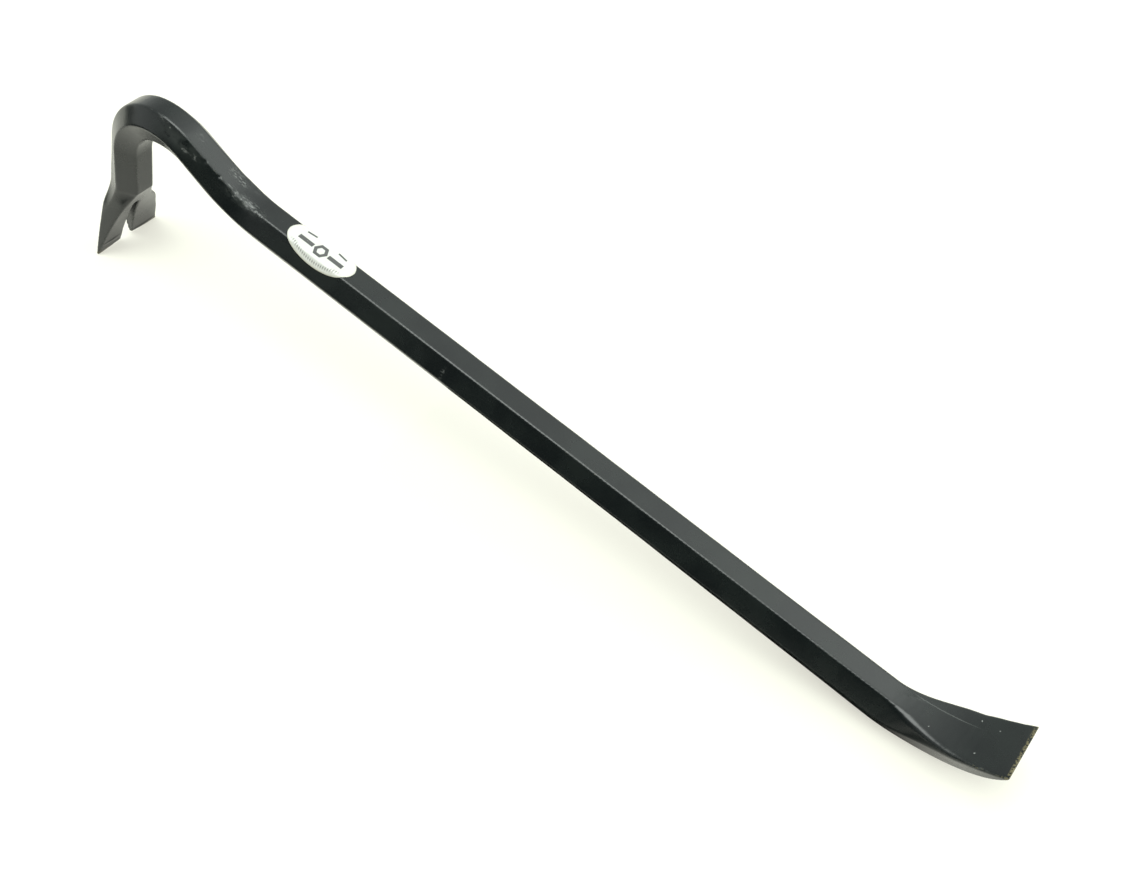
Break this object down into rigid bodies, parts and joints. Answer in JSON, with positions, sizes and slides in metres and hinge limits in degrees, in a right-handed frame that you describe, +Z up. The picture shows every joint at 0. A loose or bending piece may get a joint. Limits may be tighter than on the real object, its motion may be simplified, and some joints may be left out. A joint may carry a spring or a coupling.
{
  "type": "pry bar",
  "caption": "Hexagonal steel pry bar with a gooseneck hook, a slotted nail claw, a curved chisel blade and an oval label.",
  "frame": {"origin": "centre of the underside of the bounding box, on the surface that the claw tips and the blade's heel rest on", "axes": "+X from the claw towards the chisel blade, +Y across the bar, +Z up as the bar stands on a bench"},
  "size_m": [0.5012, 0.039, 0.1072],
  "materials": {
    "lacquered_steel": "semi-gloss black lacquer over forged scale, scuffed through in places",
    "label_film": "off-white printed film"
  },
  "bodies": {
    "root": {"forged_bar": "lacquered_steel", "oval_label": "label_film"}
  },
  "joints": []
}
